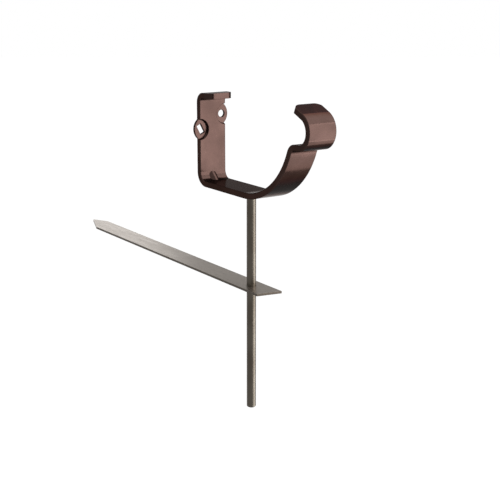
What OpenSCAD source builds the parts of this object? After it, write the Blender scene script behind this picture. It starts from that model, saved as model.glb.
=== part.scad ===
// Rise-and-fall gutter bracket: a coated steel strap bent round a half-round
// gutter, a plain round rod welded under it, and a flat pointed drive-in bar
// whose hole the rod slides in. Millimetres. X = 0 is the wall face and the
// rear of the back plate, +X points away from the wall, +Z is up, Y = 0 is
// the middle of the width and Z = 0 is the middle of the bar's thickness.

/* [Strap] */
// Width of the flat bar the bracket is bent from
strap_w = 26; // [24:1:32]
// Thickness of that flat bar
strap_t = 5; // [4:0.5:6]
// Small break along every long edge of the flat bar
strap_edge = 0.6; // [0.3:0.1:1]
// Height of the back plate, from the underside of the floor to its top
plate_h = 80; // [78:1:96]
// Underside of the floor above the middle of the drive-in bar
strap_z = 78; // [40:1:140]

/* [Bends] */
// Inner radius of the bend between back plate and floor
back_r = 7; // [4:0.5:9]
// Inner radius of the bend between back plate and top flange
flange_r = 3.5; // [2:0.5:5]
// How far the top flange reaches from the wall
flange_reach = 18.5; // [17:0.5:24]
// Corner radius of both free ends of the strap, seen square to them
end_r = 6.5; // [3:0.5:8]

/* [Gutter curve] */
// Distance from the wall to the end of the straight floor
floor_run = 70.8; // [68:0.2:84]
// Gutter-side radius of the front curve
gutter_r = 65; // [58:0.5:72]
// Height of the step's underside above the underside of the floor
step_h = 47.6; // [40:0.2:52]
// Underside radius of the step bend
step_r = 4.5; // [3:0.5:7]
// Straight length between the step bend and the hook
step_flat = 4; // [2:0.5:10]

/* [Hook] */
// Inner radius of the hook that takes the gutter's front bead
hook_r = 10.2; // [8:0.2:12]
// Angle of the bend, counted up from the horizontal at its front
hook_up = 66; // [40:1:75]
// Straight lip after the bend
lip_len = 13.6; // [8:0.2:16]

/* [Lugs] */
// Radius of the coined recess where it meets the plate's front face
lug_face_r = 9.1; // [8:0.1:9.5]
// Taper of the recess wall, radius lost between face and floor
lug_draft = 0.9; // [0.3:0.1:1.2]
// Metal left under the recess
lug_t = 2.4; // [1.6:0.1:3]
// How far the coined metal bulges past the strap's edge
lug_bulge = 3.5; // [2:0.1:4.5]
// Distance of each hole's centre inside the strap's edge
lug_inset = 2.5; // [2:0.1:4]
// Height of the lug with the slot above the underside of the floor
slot_lug_h = 48.6; // [34:0.2:58]
// Height of the lug with the round hole above the underside of the floor
hole_lug_h = 60.6; // [34:0.2:61]
// Width of the slot
slot_w = 4.6; // [3.5:0.1:5.5]
// Length of the slot
slot_l = 8.5; // [6:0.1:9.5]
// Lean of the slot from the vertical, its top towards the edge
slot_tilt = 28; // [0:1:40]
// Diameter of the round screw hole
hole_d = 6.4; // [5:0.1:7]

/* [Corner rib] */
// Width of the rib pressed across the bend under the back plate
rib_w = 9; // [6:0.5:12]
// Distance the rib's crest climbs the plate and runs along the floor
rib_leg = 7; // [6:0.5:12]
// Sideways place of the rib from the middle of the strap
rib_y = -0.5; // [-4:0.5:4]
// Width of the groove the pressing leaves on the outside of the bend
groove_w = 4.6; // [3:0.2:5]

/* [Rod] */
// Diameter of the rod
rod_d = 8; // [6:1:12]
// Length of the rod under the strap
rod_l = 186; // [150:1:240]
// Distance of the rod's axis from the wall
rod_x = 64.4; // [40:0.2:64.6]
// Bevel round the rod's lower end
rod_bevel = 0.8; // [0.3:0.1:1.5]

/* [Drive-in bar] */
// Width of the bar
bar_w = 22; // [18:1:32]
// Thickness of the bar
bar_t = 2; // [1.5:0.5:4]
// How far the bar stands out from the wall, along its +Y edge
bar_out = 93; // [86:1:130]
// How much less it stands out along its -Y edge, its end being sheared at a slant
end_slant = 4; // [0:0.5:6]
// How far the bar is driven into the wall, point included
bar_in = 241; // [120:1:260]
// Length of the point along the bar's -Y edge
point_near = 33.5; // [10:0.5:50]
// Length of the point along the bar's +Y edge
point_far = 15.5; // [8:0.5:50]
// How far the tip lies from the middle of the bar, towards +Y
tip_y = 2.5; // [-4:0.5:4]
// Blunt width left at the very tip
tip_w = 1.5; // [1:0.1:3]
// Clearance of the bar's hole on the rod's diameter
rod_play = 0.4; // [0.2:0.1:0.8]

/* [Hidden] */

// mid-thickness radii of the five bends
mid = strap_t / 2;
back_m = back_r + mid;
flange_m = flange_r + mid;
gutter_m = gutter_r + mid;
step_m = step_r + mid;
hook_m = hook_r + mid;

// centres of the bends, from the wall and from the underside of the floor
back_c = back_r + strap_t;
flange_x = flange_r + strap_t;
flange_z = plate_h - flange_x;
gutter_z = strap_t + gutter_r;
step_z = step_h - step_r;
centre_gap = gutter_r + strap_t + step_r;
curve_sweep = round(100 * acos((gutter_z - step_z) / centre_gap)) / 100;

// coined lugs
lug_floor_r = lug_face_r - lug_draft;
lug_depth = strap_t - lug_t;
lug_chord = lug_floor_r - 0.15;
lug_arc_r = (lug_chord * lug_chord + lug_bulge * lug_bulge) / (2 * lug_bulge);
draft_rate = lug_draft / lug_depth;

// corner rib
rib_r = rib_w / 2;
groove_r = groove_w / 2;
rib_axis = rib_leg / sqrt(2) - rib_r;
groove_axis = rib_leg / sqrt(2) - strap_t - groove_r;

// overrun of every cutter past the face it leaves through, and cutters'
// lengths that are long enough for every size above
over = 1;
long = 80;
square_up = 90;
$fn = 96;

// section of the flat bar, thickness along x, width along y
module flat_section() {
    a = strap_t / 2;
    b = strap_w / 2;
    e = strap_edge;
    polygon([
        [-a + e, -b], [a - e, -b], [a, -b + e], [a, b - e],
        [a - e, b], [-a + e, b], [-a, b - e], [-a, -b + e]
    ]);
}

// straight length from the mid-thickness point (x, z) in direction dir
module straight(x, z, dir, len) {
    translate([x, 0, z])
        rotate([0, square_up - dir, 0])
            linear_extrude(height = len)
                flat_section();
}

// bend about (x, z), from angle a0 through sweep, at mid-thickness radius r
module bend(x, z, r, a0, sweep, steps) {
    translate([x, 0, z])
        rotate([90, 0, 0])
            rotate([0, 0, a0])
                rotate_extrude(angle = sweep, $fn = steps)
                    translate([r, 0])
                        flat_section();
}

// what the two rounded corners take off a free end lying along +X
module end_corners(len) {
    for (side = [-1, 1])
        difference() {
            translate([len - end_r, side > 0 ? strap_w / 2 - end_r : -strap_w / 2 - over, -strap_t])
                cube([end_r + over, end_r + over, 2 * strap_t]);
            translate([len - end_r, side * (strap_w / 2 - end_r), -2 * strap_t])
                cylinder(r = end_r, h = 4 * strap_t);
        }
}

// free end: a straight length with rounded corners
module free_end(x, z, dir, len) {
    translate([x, 0, z])
        rotate([0, -dir, 0])
            difference() {
                straight(0, 0, 0, len);
                end_corners(len);
            }
}

// two moves, whole millimetres and the rest, so that a joint closes exactly
module move(x, z) {
    translate([floor(x), 0, floor(z)])
        translate([x - floor(x), 0, z - floor(z)])
            children();
}

// step, hook and lip, from the centre of the step bend
module front_end() {
    bend(0, 0, step_m, 90, curve_sweep, 96);
    straight(0, step_m, 0, step_flat);
    translate([step_flat, 0, hook_m + step_m]) {
        bend(0, 0, hook_m, -square_up, square_up + hook_up, 120);
        rotate([0, -hook_up, 0])
            free_end(hook_m, 0, 90, lip_len);
    }
}

// the bent flat bar, before anything is pressed or pierced
module bent_strap() {
    free_end(flange_x, plate_h - mid, 0, flange_reach - flange_x);
    bend(flange_x, flange_z, flange_m, 90, 90, 96);
    straight(mid, back_c, 90, flange_z - back_c);
    bend(back_c, back_c, back_m, 180, 90, 96);
    straight(back_c, mid, 0, floor_run - back_c);
    translate([floor_run, 0, gutter_z]) {
        bend(0, 0, gutter_m, -90, curve_sweep, 240);
        move(centre_gap * sin(curve_sweep), -centre_gap * cos(curve_sweep))
            front_end();
    }
}

// recess of one lug, side is -1 or 1, h its height above the floor's underside
module lug_recess(side, h) {
    translate([lug_t, side * strap_w / 2, h])
        rotate([0, 90, 0])
            cylinder(
                r1 = lug_floor_r,
                r2 = lug_floor_r + draft_rate * (lug_depth + over),
                h = lug_depth + over
            );
}

// the thin bulge the coining pushes out past the strap's edge
module lug_bulge_disc(side, h) {
    intersection() {
        translate([0, side * (strap_w / 2 + lug_bulge - lug_arc_r), h])
            rotate([0, 90, 0])
                cylinder(r = lug_arc_r, h = lug_t);
        translate([-over, side > 0 ? strap_w / 2 - lug_inset : lug_inset - strap_w / 2 - long, h - long / 2])
            cube([strap_t + 2 * over, long, long]);
    }
}

// tilted slot of the one lug
module lug_slot() {
    translate([lug_t / 2, -strap_w / 2 + lug_inset, slot_lug_h])
        rotate([slot_tilt, 0, 0])
            cube([lug_t + 2 * over, slot_w, slot_l], center = true);
}

// round screw hole of the other lug
module lug_hole() {
    translate([-over, strap_w / 2 - lug_inset, hole_lug_h])
        rotate([0, 90, 0])
            cylinder(d = hole_d, h = lug_t + 2 * over);
}

// rib across the inside of the bend, kept inside the strap's outer faces
module corner_rib() {
    inner = strap_t - mid;
    intersection() {
        translate([strap_t + rib_axis / sqrt(2), rib_y, strap_t + rib_axis / sqrt(2)])
            rotate([0, 135, 0])
                cylinder(r = rib_r, h = long, center = true);
        translate([inner, rib_y - rib_w, inner])
            cube([4 * rib_leg, 2 * rib_w, 4 * rib_leg]);
    }
}

// groove the same pressing leaves on the outside of the bend
module corner_groove() {
    translate([strap_t + groove_axis / sqrt(2), rib_y, strap_t + groove_axis / sqrt(2)])
        rotate([0, 135, 0]) {
            cylinder(r = groove_r, h = long, center = true);
            translate([0, -groove_r, -long / 2])
                cube([long / 4, groove_w, long]);
        }
}

module bracket_strap() {
    color([0.42, 0.33, 0.30])
        translate([0, 0, strap_z])
            difference() {
                union() {
                    difference() {
                        bent_strap();
                        lug_recess(-1, slot_lug_h);
                        lug_recess(1, hole_lug_h);
                    }
                    lug_bulge_disc(-1, slot_lug_h);
                    lug_bulge_disc(1, hole_lug_h);
                    corner_rib();
                }
                corner_groove();
                lug_slot();
                lug_hole();
            }
}

module rod() {
    r = rod_d / 2;
    color([0.62, 0.61, 0.58])
        translate([rod_x, 0, strap_z - rod_l])
            rotate_extrude()
                polygon([
                    [0, 0], [r - rod_bevel, 0], [r, rod_bevel],
                    [r, rod_l], [0, rod_l]
                ]);
}

// outline of the bar seen from above, its point inside the wall
module bar_outline() {
    b = bar_w / 2;
    difference() {
        polygon([
            [bar_out - end_slant, -b], [bar_out, b], [-bar_in + point_far, b],
            [-bar_in, tip_y + tip_w / 2], [-bar_in, tip_y - tip_w / 2], [-bar_in + point_near, -b]
        ]);
        translate([rod_x, 0])
            circle(d = rod_d + rod_play);
    }
}

module drive_in_bar() {
    color([0.70, 0.70, 0.70])
        translate([0, 0, -bar_t / 2])
            linear_extrude(height = bar_t)
                bar_outline();
}

bracket_strap();
rod();
drive_in_bar();
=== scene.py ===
"""Gutter bracket on a drive-in bar: the CAD solids with detailed procedural metal,
in plain soft studio light. Metres. X = 0 is the wall face, +Z is up."""
import math

import bpy
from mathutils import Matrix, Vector


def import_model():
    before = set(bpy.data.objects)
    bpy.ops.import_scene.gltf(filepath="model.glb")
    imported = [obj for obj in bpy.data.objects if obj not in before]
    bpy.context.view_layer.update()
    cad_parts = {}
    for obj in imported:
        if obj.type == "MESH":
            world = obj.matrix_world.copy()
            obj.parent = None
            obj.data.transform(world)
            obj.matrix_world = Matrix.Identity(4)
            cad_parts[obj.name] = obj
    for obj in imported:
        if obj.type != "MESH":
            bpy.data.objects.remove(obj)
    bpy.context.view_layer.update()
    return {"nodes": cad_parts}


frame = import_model()
NODES = frame["nodes"]

# ---------------------------------------------------------------- named values
MM = 0.001

# camera: the photograph's viewing direction, lens and distance
CAM_AZIMUTH = 56.115       # degrees, 0 looks along +Y, 90 along -X
CAM_ELEVATION = 14.153     # degrees above the horizon
CAM_TARGET = Vector((0.06233, 0.0, 0.03110))
CAM_DISTANCE = 0.9065
CAM_LENS, CAM_SENSOR = 78.0, 36.0  # mm
CAM_CLIP_NEAR, CAM_CLIP_FAR = 0.01, 100.0

# studio: a pale floor that turns white behind the object, and a pale grey room round it.
# The strengths are what camera, glossy and transmission rays see; 1 is white.
BACKDROP_AZIMUTH = 146.115  # degrees from +X towards +Y
BACKDROP_COS = math.cos(math.radians(BACKDROP_AZIMUTH))
BACKDROP_SIN = math.sin(math.radians(BACKDROP_AZIMUTH))
FLOOR_Z = -1.25
FLOOR_REACH = 20.0
FLOOR_PALE = (0.30, 0.30, 0.30, 1)
FLOOR_GLOW_NEAR, FLOOR_GLOW_FAR = 0.50, 1.0
GLOW_STARTS, GLOW_FULL = 1.20, 1.98  # metres behind the object
SECTOR_STARTS, SECTOR_FULL = 0.35, 0.80  # cosine of the angle from the backdrop's direction
KEEP_OFF_ZERO = 0.01       # metres, added to a length before it divides
WHITE = 1.0
HORIZON_SOFT = 0.12        # height of a direction at which the room has replaced the ground
FLOOR_LEVEL = 0.54         # the ground beyond the floor, outside the white sector
ROOM_GREY = 0.42
CEILING = 1.0
CEILING_STARTS, CEILING_FULL = 0.45, 0.70  # height of a direction
FILL_LIGHT = 0.12          # what lights matt surfaces from all round

# lamps: name, place, aim, width, height, power in watts
LAMPS = (
    ("key", (0.84, 0.71, 0.02), (0.06, 0.0, 0.05), 0.84, 1.60, 17.6),
    ("low", (0.461, 0.591, -0.631), (0.12, 0.0, 0.10), 0.36, 0.30, 0.95),
    ("top", (0.284, 0.76, 1.07), (0.15, 0.0, 0.15), 1.40, 0.85, 8.4),
    ("back", (-1.38, 0.33, 0.32), (-0.20, 0.0, 0.0), 0.75, 0.45, 1.35),
)

# colours, linear
COAT_BROWN = (0.070, 0.041, 0.035, 1)
COAT_DARK = (0.051, 0.030, 0.0255, 1)
COAT_SHEEN = (0.24, 0.19, 0.17, 1)
COAT_WORN = (0.180, 0.120, 0.098, 1)
ROD_STEEL = (0.155, 0.137, 0.113, 1)
ROD_BROWN = (0.100, 0.080, 0.062, 1)
BAR_STEEL = (0.365, 0.32, 0.28, 1)
BAR_DARK = (0.26, 0.225, 0.19, 1)
BAR_SHEARED = (0.12, 0.10, 0.083, 1)

# noises: scale per metre, detail, roughness of the noise
COAT_CLOUD = (45.0, 4.0, 0.55)
COAT_SPECK = (900.0, 3.0, 0.6)
COAT_PATCH = (160.0, 4.0, 0.65)
COAT_PEEL = (1400.0, 2.0, 0.5)
ROD_STREAK = (2600.0, 3.0, 0.6)
ROD_BLOTCH = (70.0, 4.0, 0.6)
BAR_GRAIN = (3000.0, 3.0, 0.65)
BAR_BROAD = (220.0, 3.0, 0.5)
BAR_CLOUD = (28.0, 3.0, 0.5)

# stretches: factors on x, y and z before the noise; a small one draws it out along that axis
ROD_STREAK_STRETCH = (1.0, 1.0, 0.02)
ROD_BLOTCH_STRETCH = (1.0, 1.0, 0.35)
BAR_GRAIN_STRETCH = (0.012, 1.0, 1.0)
BAR_BROAD_STRETCH = (0.10, 1.0, 1.0)

# ramps: from low, from high, to low, to high
COAT_CLOUD_SHARE = (0.30, 0.70, 0.0, 1.0)
COAT_SPECK_SHARE = (0.62, 0.80, 0.0, 0.25)
COAT_PATCH_SHARE = (0.42, 0.62, 0.0, 1.0)
COAT_ROUGHNESS = (0.25, 0.75, 0.11, 0.17)
ROD_BLOTCH_SHARE = (0.40, 0.70, 0.0, 0.8)
ROD_STREAK_SHARE = (0.35, 0.75, 0.0, 0.35)
ROD_ROUGHNESS = (0.3, 0.7, 0.33, 0.43)
BAR_GRAIN_SHARE = (0.30, 0.75, 0.0, 0.5)
BAR_CLOUD_SHARE = (0.35, 0.75, 0.0, 0.35)
BAR_FACE_SHARE = (0.3, 0.7, 0.0, 1.0)       # from the normal's height: 1 on the flat faces
BAR_ROUGHNESS = (0.3, 0.7, 0.26, 0.36)
BAR_ROUGHNESS_BROAD = (0.3, 0.7, 0.0, 0.05)
EDGE_SHARE = (0.97, 0.80, 0.0, 1.0)         # from the cosine between rounded and plain normal

# bumps: strength, height
COAT_BUMP = (0.07, 0.04 * MM)
ROD_BUMP = (0.12, 0.04 * MM)
BAR_BUMP = (0.10, 0.03 * MM)

# rounding of sharp edges in the shading, and the rest of the coat
COAT_ROUND, ROD_ROUND, BAR_ROUND = 0.7 * MM, 0.3 * MM, 0.25 * MM
BEVEL_SAMPLES = 6
COAT_WEAR = 0.2            # how far rubbed edges go towards COAT_WORN
COAT_METALLIC = 0.8
COAT_SPECULAR = 0.50


# ------------------------------------------------------------------ node tools
class Tree:
    """A small helper round a material's or world's node tree."""

    def __init__(self, owner):
        owner.use_nodes = True
        self.nt = owner.node_tree
        self.nt.nodes.clear()

    def add(self, kind):
        return self.nt.nodes.new(kind)

    def link(self, a, b):
        self.nt.links.new(a, b)

    def give(self, value, socket):
        """Set the socket to a constant, or link it to an output."""
        if isinstance(value, (int, float, tuple)):
            socket.default_value = value
        else:
            self.link(value, socket)

    def noise(self, vector, scale, detail, rough):
        n = self.add("ShaderNodeTexNoise")
        n.inputs["Scale"].default_value = scale
        n.inputs["Detail"].default_value = detail
        n.inputs["Roughness"].default_value = rough
        self.link(vector, n.inputs["Vector"])
        return n.outputs["Fac"]

    def stretched(self, vector, factors):
        n = self.add("ShaderNodeMapping")
        n.inputs["Scale"].default_value = factors
        self.link(vector, n.inputs["Vector"])
        return n.outputs["Vector"]

    def ramp(self, value, low, high, to_low=0.0, to_high=1.0):
        n = self.add("ShaderNodeMapRange")
        n.interpolation_type = "SMOOTHSTEP"
        n.inputs["From Min"].default_value = low
        n.inputs["From Max"].default_value = high
        n.inputs["To Min"].default_value = to_low
        n.inputs["To Max"].default_value = to_high
        self.link(value, n.inputs["Value"])
        return n.outputs["Result"]

    def math(self, operation, a, b):
        n = self.add("ShaderNodeMath")
        n.operation = operation
        for socket, value in zip(n.inputs, (a, b)):
            self.give(value, socket)
        return n.outputs[0]

    def mix(self, factor, a, b, kind="RGBA"):
        n = self.add("ShaderNodeMix")
        n.data_type = kind
        for name, value in (("Factor", factor), ("A", a), ("B", b)):
            self.give(value, [s for s in n.inputs if s.name == name and s.enabled][0])
        return [s for s in n.outputs if s.enabled][0]

    def split(self, vector):
        n = self.add("ShaderNodeSeparateXYZ")
        self.link(vector, n.inputs[0])
        return n.outputs

    def coordinates(self, kind="Object"):
        return self.add("ShaderNodeTexCoord").outputs[kind]

    def bump(self, height, normal, strength, distance):
        n = self.add("ShaderNodeBump")
        n.inputs["Strength"].default_value = strength
        n.inputs["Distance"].default_value = distance
        self.link(height, n.inputs["Height"])
        self.link(normal, n.inputs["Normal"])
        return n.outputs["Normal"]

    def rounded(self, radius):
        """The normal as if sharp edges were rounded."""
        n = self.add("ShaderNodeBevel")
        n.samples = BEVEL_SAMPLES
        n.inputs["Radius"].default_value = radius
        return n.outputs["Normal"]

    def edge(self, rounded):
        """A mask that is 1 where the rounded normal leaves the plain one."""
        plain = self.add("ShaderNodeNewGeometry").outputs["Normal"]
        dot = self.add("ShaderNodeVectorMath")
        dot.operation = "DOT_PRODUCT"
        self.link(rounded, dot.inputs[0])
        self.link(plain, dot.inputs[1])
        return self.ramp(dot.outputs["Value"], *EDGE_SHARE)

    def emission(self, kind, strength):
        """White emission or background of this strength."""
        n = self.add(kind)
        n.inputs["Color"].default_value = (1, 1, 1, 1)
        self.link(strength, n.inputs["Strength"])
        return n.outputs[0]

    def finish(self, surface, kind="ShaderNodeOutputMaterial"):
        self.link(surface, self.add(kind).inputs["Surface"])

    def towards_backdrop(self, parts):
        """How far a place or direction, given by its parts, lies towards the backdrop."""
        return self.math("ADD", self.math("MULTIPLY", parts["X"], BACKDROP_COS),
                         self.math("MULTIPLY", parts["Y"], BACKDROP_SIN))

    def seen_directly(self):
        """1 for the rays that show the background: camera, glossy and transmission rays."""
        path = self.add("ShaderNodeLightPath").outputs
        return self.math("MAXIMUM", path["Is Camera Ray"],
                         self.math("MAXIMUM", path["Is Glossy Ray"],
                                   path["Is Transmission Ray"]))


def metal(tree, colour, roughness, normal, metallic, extra=()):
    """Finish a material's tree with a Principled shader; extra holds more (socket, value)."""
    shader = tree.add("ShaderNodeBsdfPrincipled")
    for socket, value in (("Base Color", colour), ("Roughness", roughness),
                          ("Normal", normal), ("Metallic", metallic), *extra):
        tree.give(value, shader.inputs[socket])
    tree.finish(shader.outputs["BSDF"])


def dress(node, material):
    """The CAD node shows this material all over."""
    mesh = NODES[node].data
    mesh.materials.clear()
    mesh.materials.append(material)


# ------------------------------------------------------------------- materials
def coat_material():
    """Chocolate-brown metallic lacquer, glossy: faint mottling, fine orange peel,
    edges rubbed a little lighter."""
    material = bpy.data.materials.new("bracket_coat")
    t = Tree(material)
    where = t.coordinates()
    cloud = t.noise(where, *COAT_CLOUD)
    speck = t.noise(where, *COAT_SPECK)
    colour = t.mix(t.ramp(cloud, *COAT_CLOUD_SHARE), COAT_DARK, COAT_BROWN)
    colour = t.mix(t.ramp(speck, *COAT_SPECK_SHARE), colour, COAT_WORN)

    rounded = t.rounded(COAT_ROUND)
    patchy = t.ramp(t.noise(where, *COAT_PATCH), *COAT_PATCH_SHARE)
    worn = t.math("MULTIPLY", t.edge(rounded), t.math("MULTIPLY", patchy, COAT_WEAR))
    colour = t.mix(worn, colour, COAT_WORN)

    metal(t, colour, t.ramp(cloud, *COAT_ROUGHNESS),
          t.bump(t.noise(where, *COAT_PEEL), rounded, *COAT_BUMP), COAT_METALLIC,
          (("Specular IOR Level", COAT_SPECULAR), ("Specular Tint", COAT_SHEEN)))
    return material


def rod_material():
    """Drawn steel: fine streaks along the rod, brownish tarnish."""
    material = bpy.data.materials.new("rod_steel")
    t = Tree(material)
    where = t.coordinates()
    streak = t.noise(t.stretched(where, ROD_STREAK_STRETCH), *ROD_STREAK)
    blotch = t.noise(t.stretched(where, ROD_BLOTCH_STRETCH), *ROD_BLOTCH)
    colour = t.mix(t.ramp(blotch, *ROD_BLOTCH_SHARE), ROD_STEEL, ROD_BROWN)
    colour = t.mix(t.ramp(streak, *ROD_STREAK_SHARE), colour, ROD_BROWN)

    metal(t, colour, t.ramp(streak, *ROD_ROUGHNESS),
          t.bump(streak, t.rounded(ROD_ROUND), *ROD_BUMP), 1.0)
    return material


def bar_material():
    """Flat steel brushed along its length, a little darker in patches, cut edges dark."""
    material = bpy.data.materials.new("bar_steel")
    t = Tree(material)
    where = t.coordinates()
    grain = t.noise(t.stretched(where, BAR_GRAIN_STRETCH), *BAR_GRAIN)
    broad = t.noise(t.stretched(where, BAR_BROAD_STRETCH), *BAR_BROAD)
    cloud = t.noise(where, *BAR_CLOUD)
    colour = t.mix(t.ramp(grain, *BAR_GRAIN_SHARE), BAR_STEEL, BAR_DARK)
    colour = t.mix(t.ramp(cloud, *BAR_CLOUD_SHARE), colour, BAR_DARK)
    flat = t.math("ABSOLUTE", t.split(t.coordinates("Normal"))["Z"], 0.0)
    colour = t.mix(t.ramp(flat, *BAR_FACE_SHARE), BAR_SHEARED, colour)

    rough = t.math("ADD", t.ramp(grain, *BAR_ROUGHNESS), t.ramp(broad, *BAR_ROUGHNESS_BROAD))
    metal(t, colour, rough, t.bump(grain, t.rounded(BAR_ROUND), *BAR_BUMP), 1.0)
    return material


# ----------------------------------------------------------------------- stage
def floor_material():
    """Pale and matt; what shows of it turns white behind the object."""
    material = bpy.data.materials.new("floor_pale")
    t = Tree(material)
    matt = t.add("ShaderNodeBsdfDiffuse")
    matt.inputs["Color"].default_value = FLOOR_PALE
    parts = t.split(t.coordinates())
    behind = t.towards_backdrop(parts)
    across = t.math("SUBTRACT", t.math("MULTIPLY", parts["Y"], BACKDROP_COS),
                    t.math("MULTIPLY", parts["X"], BACKDROP_SIN))
    squares = t.math("ADD", t.math("MULTIPLY", behind, behind),
                     t.math("MULTIPLY", across, across))
    length = t.math("ADD", t.math("POWER", squares, 0.5), KEEP_OFF_ZERO)
    sector = t.ramp(t.math("DIVIDE", behind, length), SECTOR_STARTS, SECTOR_FULL)
    whiter = t.math("MULTIPLY", t.ramp(behind, GLOW_STARTS, GLOW_FULL), sector)
    level = t.ramp(whiter, 0.0, 1.0, FLOOR_GLOW_NEAR, FLOOR_GLOW_FAR)
    glow = t.emission("ShaderNodeEmission", t.math("MULTIPLY", t.seen_directly(), level))
    both = t.add("ShaderNodeAddShader")
    t.link(matt.outputs[0], both.inputs[0])
    t.link(glow, both.inputs[1])
    t.finish(both.outputs[0])
    return material


def floor():
    """A plain level floor, square to the backdrop; it takes the object's shadow."""
    away = Vector((BACKDROP_COS, BACKDROP_SIN, 0)) * FLOOR_REACH
    side = Vector((-BACKDROP_SIN, BACKDROP_COS, 0)) * FLOOR_REACH
    corners = (-away - side, away - side, away + side, side - away)
    mesh = bpy.data.meshes.new("floor")
    mesh.from_pydata([tuple(c) for c in corners], [], [(0, 3, 2, 1)])
    mesh.materials.append(floor_material())
    obj = bpy.data.objects.new("floor", mesh)
    bpy.context.scene.collection.objects.link(obj)
    obj.location = (0, 0, FLOOR_Z)


def world():
    """White below the horizon on the backdrop's side, pale elsewhere, with a lighter
    ceiling, the same for the camera, for what shines and for what is clear; a low even
    fill for everything else."""
    w = bpy.data.worlds.new("studio")
    bpy.context.scene.world = w
    t = Tree(w)
    parts = t.split(t.coordinates("Generated"))
    sector = t.ramp(t.towards_backdrop(parts), SECTOR_STARTS, SECTOR_FULL)
    below = t.ramp(parts["Z"], 0.0, HORIZON_SOFT, 1.0, 0.0)
    ground = t.ramp(sector, 0.0, 1.0, FLOOR_LEVEL, WHITE)
    above = t.math("MULTIPLY", t.math("SUBTRACT", 1.0, below), ROOM_GREY)
    backdrop = t.math("ADD", t.math("MULTIPLY", ground, below), above)
    overhead = t.ramp(parts["Z"], CEILING_STARTS, CEILING_FULL, 0.0, CEILING - ROOM_GREY)
    backdrop = t.math("ADD", backdrop, overhead)
    shown = t.mix(t.seen_directly(), FILL_LIGHT, backdrop, "FLOAT")
    t.finish(t.emission("ShaderNodeBackground", shown), "ShaderNodeOutputWorld")


def lamp(name, place, aim, width, height, power):
    """An upright soft box at place, turned to aim."""
    data = bpy.data.lights.new(name, "AREA")
    data.shape = "RECTANGLE"
    data.size, data.size_y = width, height
    data.energy = power
    obj = bpy.data.objects.new(name, data)
    obj.location = place
    obj.rotation_mode = "QUATERNION"
    obj.rotation_quaternion = (Vector(aim) - Vector(place)).to_track_quat("-Z", "Y")
    obj.visible_camera = False
    bpy.context.scene.collection.objects.link(obj)


def camera():
    a, e = math.radians(CAM_AZIMUTH), math.radians(CAM_ELEVATION)
    back = Vector((math.sin(a) * math.cos(e), -math.cos(a) * math.cos(e), math.sin(e)))
    data = bpy.data.cameras.new("camera")
    data.sensor_width, data.lens = CAM_SENSOR, CAM_LENS
    data.clip_start, data.clip_end = CAM_CLIP_NEAR, CAM_CLIP_FAR
    obj = bpy.data.objects.new("camera", data)
    obj.location = CAM_TARGET + back * CAM_DISTANCE
    obj.rotation_mode = "QUATERNION"
    obj.rotation_quaternion = (-back).to_track_quat("-Z", "Y")
    bpy.context.scene.collection.objects.link(obj)
    bpy.context.scene.camera = obj


dress("bracket_strap", coat_material())
dress("rod", rod_material())
dress("drive_in_bar", bar_material())
floor()
world()
for settings in LAMPS:
    lamp(*settings)
camera()

bpy.context.scene.view_settings.view_transform = "Standard"
